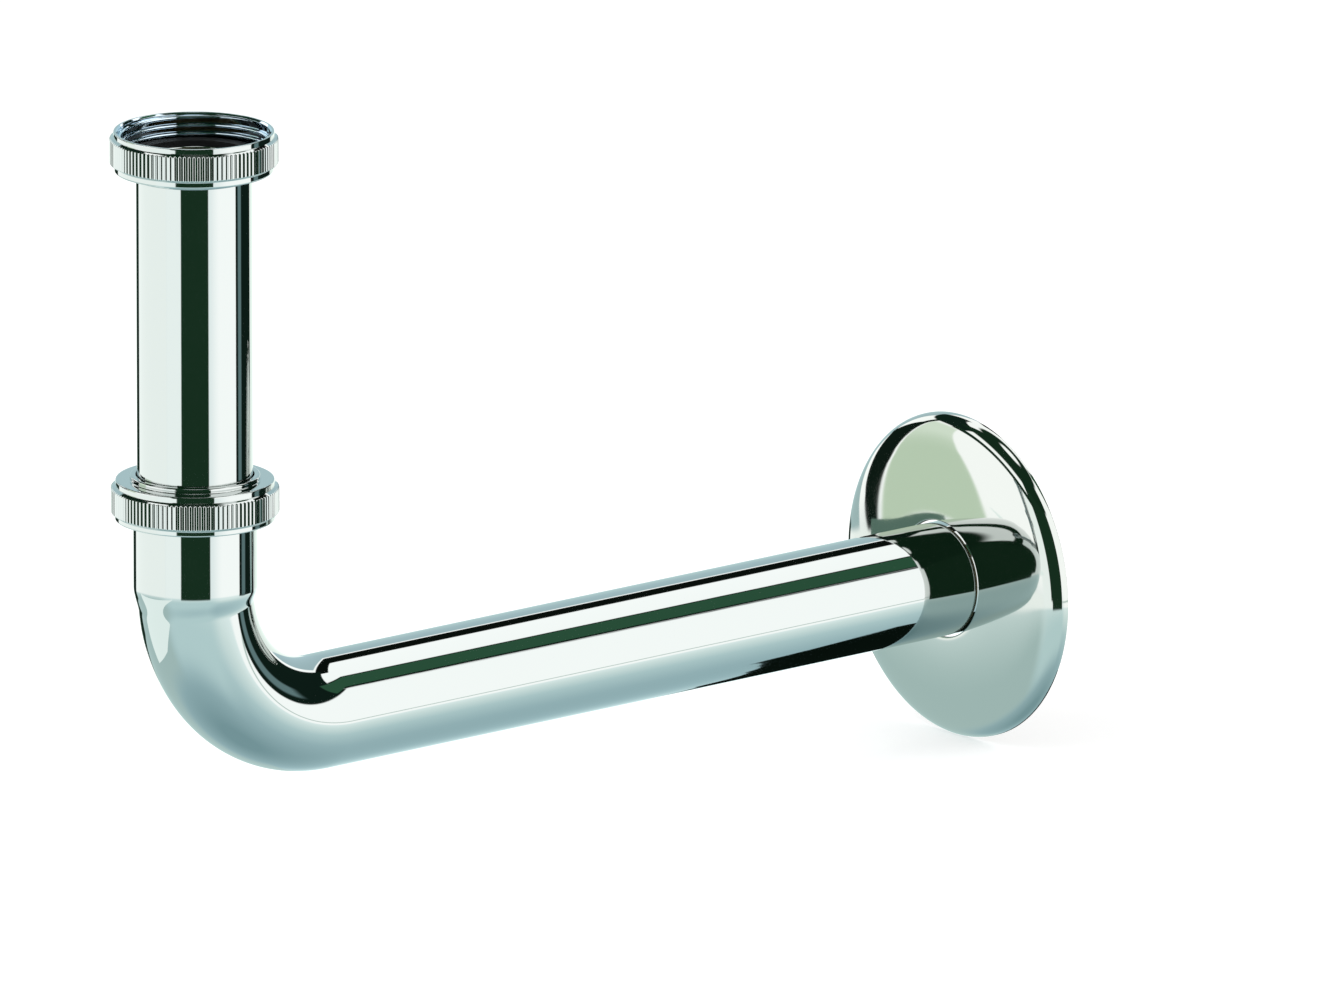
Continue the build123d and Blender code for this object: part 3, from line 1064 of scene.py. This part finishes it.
# %% Tree for a thread ridge
def thread_tree(sizes, material):
    """Geometry Nodes: a ridge along a helix about the Z axis, from its base to its crest."""
    tree = bpy.data.node_groups.new("thread_ridge", "GeometryNodeTree")
    keys = tree_inputs(tree, sizes)
    size = add_node(tree, "NodeGroupInput").outputs
    helix = add_node(
        tree,
        "GeometryNodeCurveSpiral",
        {
            "Resolution": size["Steps a turn"],
            "Rotations": size["Turns"],
            "Start Radius": size["Base radius"],
            "End Radius": size["Base radius"],
            "Height": size["Rise"],
        },
    )
    level = add_node(tree, "GeometryNodeSetCurveNormal", {0: helix.outputs[0]}, mode="Z_UP")
    tall = add_node(
        tree, "ShaderNodeMath", {0: size["Base radius"], 1: size["Crest radius"]}, operation="SUBTRACT"
    )
    corners = {}
    base_ends = [(-0.5, "Base width", None), (0.5, "Base width", None)]
    crest_ends = [(0.5, "Crest width", tall), (-0.5, "Crest width", tall)]
    for number, (side, width, height) in enumerate(base_ends + crest_ends):
        across = add_node(tree, "ShaderNodeMath", {0: size[width], 1: side}, operation="MULTIPLY")
        point = add_node(tree, "ShaderNodeCombineXYZ", {1: across.outputs[0]})
        if height:
            tree.links.new(height.outputs[0], point.inputs[0])
        corners["Point %d" % (number + 1)] = point.outputs[0]
    section = add_node(tree, "GeometryNodeCurvePrimitiveQuadrilateral", corners, mode="POINTS")
    blunt = add_node(
        tree,
        "GeometryNodeFilletCurve",
        {"Curve": section.outputs[0], "Count": 4, "Radius": size["Rounding"], "Limit Radius": True},
        mode="POLY",
    )
    along = add_node(tree, "GeometryNodeSplineParameter").outputs["Factor"]
    rest = add_node(tree, "ShaderNodeMath", {0: 1.0, 1: along}, operation="SUBTRACT")
    fades = []
    for share in (along, rest.outputs[0]):
        fade = add_node(
            tree,
            "ShaderNodeMapRange",
            {"Value": share, "From Max": size["Run-out"], "To Min": 0.1},
            interpolation_type="SMOOTHSTEP",
        )
        fades.append(fade.outputs["Result"])
    fullness = add_node(tree, "ShaderNodeMath", {0: fades[0], 1: fades[1]}, operation="MINIMUM")
    ridge = add_node(
        tree,
        "GeometryNodeCurveToMesh",
        {
            "Curve": level.outputs[0],
            "Profile Curve": blunt.outputs[0],
            "Scale": fullness.outputs[0],
            "Fill Caps": True,
        },
    )
    whole = add_node(tree, "GeometryNodeRealizeInstances", {0: ridge.outputs[0]})
    dressed = add_node(tree, "GeometryNodeSetMaterial", {0: whole.outputs[0], "Material": material})
    add_node(tree, "NodeGroupOutput", {0: dressed.outputs[0]})
    return tree, keys


# %% Cut both threads
THREAD_SINK = 0.05 * MM
THREAD_BASE_WIDTH = 2.15 * MM
THREAD_CREST_WIDTH = 0.45 * MM
THREAD_ROUNDING = 0.6 * MM
THREAD_STEPS = 96
RUN_OUT = 0.07
COLLAR_ROOT_DEPTH = 1.35 * MM
NUT_THREAD = (0.9 * MM, 6.4 * MM)
COLLAR_THREAD = (1.1 * MM, 4.9 * MM)


def thread_sizes(base, crest, span):
    """Sizes of a ridge from a base radius to a crest radius, between two heights."""
    rise = span[1] - span[0]
    return {
        "Base radius": base,
        "Crest radius": crest,
        "Base width": THREAD_BASE_WIDTH,
        "Crest width": THREAD_CREST_WIDTH,
        "Rise": rise,
        "Turns": rise / THREAD_PITCH,
        "Rounding": THREAD_ROUNDING,
        "Run-out": RUN_OUT,
        "Steps a turn": THREAD_STEPS,
    }


collar_radius = collar_high.y
collar_root = collar_radius - COLLAR_ROOT_DEPTH
nut_ridge = thread_sizes(thread_radius + THREAD_SINK, thread_radius - THREAD_DEPTH, NUT_THREAD)
collar_ridge = thread_sizes(collar_root - THREAD_SINK, collar_radius, COLLAR_THREAD)
in_nut = mouth_up @ Matrix.Translation((0, 0, NUT_THREAD[0]))
on_collar = Matrix.Translation((upright_x, 0, collar_low.z + COLLAR_THREAD[0]))
threads = {
    "union_nut_thread": ("union_nut", nut_ridge, in_nut),
    "collar_thread": ("elbow", collar_ridge, on_collar),
}
# Both threads take the lighter chrome as well: painted light.
ridge_tree, ridge_keys = thread_tree(nut_ridge, chrome_painted_lighter)
for name, (body, sizes, placing) in threads.items():
    ridge = grow(name, ridge_tree, ridge_keys, sizes)
    ridge.data.transform(placing)
    face_outwards(ridge.data)
    smooth_shade(ridge)
    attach(ridge, body)
    print(name, len(ridge.data.polygons), "faces")

# %% Turn the collar inside its thread
SEAT_WIDTH = 1.9 * MM
SEAT_DEPTH = 2.2 * MM
collar_outline = rounded(
    [
        (socket_radius, (collar_low.z + collar_high.z) / 2, 0),
        (socket_radius, collar_low.z, 0.1 * MM),
        (collar_root, collar_low.z, 0.3 * MM),
        (collar_root, collar_high.z, 0.1 * MM),
        (socket_radius + SEAT_WIDTH, collar_high.z, 0.05 * MM),
        (socket_radius, collar_high.z - SEAT_DEPTH, 0.05 * MM),
        (socket_radius, (collar_low.z + collar_high.z) / 2 + 0.2 * MM, 0),
    ]
)
collar_mesh = turned_mesh("collar_turned", collar_outline, even_angles(TUBE_SIDES), closed=True)
collar = finished("collar_turned", collar_mesh, on_upright, [chrome_turned])
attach(collar, "elbow")
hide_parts("threaded_collar")
print("collar:", len(collar.data.polygons), "faces")

# %% [markdown]
# ## The wall flange
# A disc of sheet brass pressed to a shallow dish: a face that swells gently and turns faster and
# faster towards the rim, with its edge against the wall. The mirror image of the tube in the dish
# shows that: it comes to a point before the rim. So the slope is a rule of the radius: a steady
# swell, and a steep power of the share of the way to the rim.

# %% Spin the flange
FLANGE_SHEET = 0.9 * MM
FLANGE_DEPTH = 7.9 * MM
FLANGE_SIDES = 288
BORE_GAP = 0.6 * MM
RIM_LIP = 0.3 * MM
START_SLOPE = radians(1.2)
SWELL = radians(0.32) / MM
RIM_POWER = 8
FACE_SHARE = 0.72
FACE_STEPS = 24
RIM_STEPS = 30

neck_bore = tube_radius + BORE_GAP
neck_radius = neck_bore + FLANGE_SHEET


def dish_slope(share):
    """Slope of the dish at a share of the way from its neck to its rim."""
    steep = share**RIM_POWER
    swell = START_SLOPE + SWELL * share * (flange_radius - neck_radius)
    return swell * (1 - steep) + asin(steep)


def dish_shares():
    """Shares from neck to rim: even on the face, then at even steps of the rim's turn."""
    first_turn = asin(FACE_SHARE**RIM_POWER)
    turns = [first_turn + (pi / 2 - first_turn) * step / RIM_STEPS for step in range(RIM_STEPS + 1)]
    face = [FACE_SHARE * step / FACE_STEPS for step in range(FACE_STEPS)]
    return face + [sin(turn) ** (1 / RIM_POWER) for turn in turns]


def dish_face(inset):
    """Points of the dish from its rim to its neck, drawn in from the outside by inset."""
    shares = dish_shares()
    radii = [neck_radius + share * (flange_radius - neck_radius) for share in shares]
    slopes = [min(dish_slope(share), pi / 2) for share in shares]
    drops = [0]
    for number in range(1, len(shares)):
        middle = (slopes[number - 1] + slopes[number]) / 2
        drops.append(drops[-1] + (radii[number] - radii[number - 1]) * tan(middle))
    stretch = (FLANGE_DEPTH - RIM_LIP) / drops[-1]
    face = []
    for radius, drop, slope in zip(radii, drops, slopes):
        face.append((radius - inset * sin(slope), drop * stretch - FLANGE_DEPTH + inset * cos(slope), 0))
    print("dish drawn to", round(stretch, 3), "of its rule")
    return face[::-1]


front = dish_face(0)
back = dish_face(FLANGE_SHEET)
flange_outline = rounded(
    [
        (neck_bore, FLANGE_SHEET - FLANGE_DEPTH, 0),
        (neck_bore, -FLANGE_DEPTH, 0.35 * MM),
        *front[::-1],
        (flange_radius, 0, 0.1 * MM),
        (flange_radius - FLANGE_SHEET, 0, 0.1 * MM),
        *back,
    ],
    guard=0.04 * MM,
)
towards_wall = Matrix(((0, 0, 1, 0), (0, 1, 0, 0), (-1, 0, 0, 0), (0, 0, 0, 1)))
flange_mesh = turned_mesh("wall_flange_pressed", flange_outline, even_angles(FLANGE_SIDES), closed=True)
flange = finished("wall_flange_pressed", flange_mesh, towards_wall, [chrome_sheet, brass])
for face in flange.data.polygons:
    if face.normal.x > 0.15 or Vector(face.center.yz).length < neck_bore + 0.01 * MM:
        face.material_index = 1
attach(flange, "wall_flange")
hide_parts("wall_flange")
print("flange:", len(flange.data.polygons), "faces")
